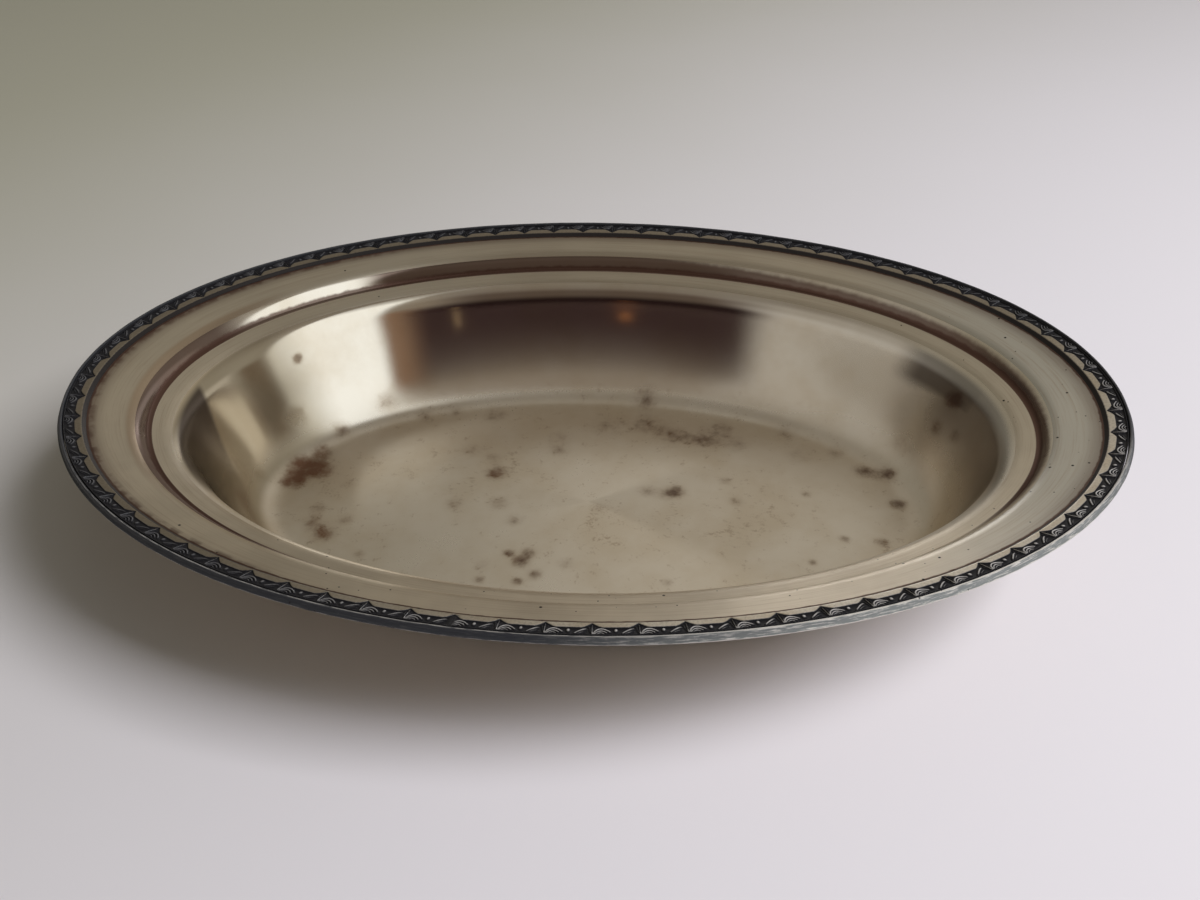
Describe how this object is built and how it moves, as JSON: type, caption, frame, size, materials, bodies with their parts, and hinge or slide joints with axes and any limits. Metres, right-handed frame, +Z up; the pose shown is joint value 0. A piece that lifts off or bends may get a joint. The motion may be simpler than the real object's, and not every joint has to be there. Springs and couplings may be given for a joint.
{
  "type": "oval serving bowl",
  "caption": "Oval metal serving bowl with a deep well, a wide sloping flange, an applied leaf border and a plain wired edge.",
  "frame": {"origin": "on the table, under the middle of the bowl", "axes": "+X along the bowl's long axis, +Y across it, +Z up out of the bowl"},
  "size_m": [0.3, 0.202, 0.047],
  "materials": {
    "silver_plate": "silver plate on brass, satin and tarnished",
    "border": "silver plate with black patina in the relief",
    "edge": "silver plate, worn on its corners"
  },
  "bodies": {
    "root": {"bowl_body": "silver_plate", "border_strip_right": "border", "border_strip_left": "border", "edge_wire_right": "edge", "edge_wire_left": "edge"}
  },
  "joints": []
}
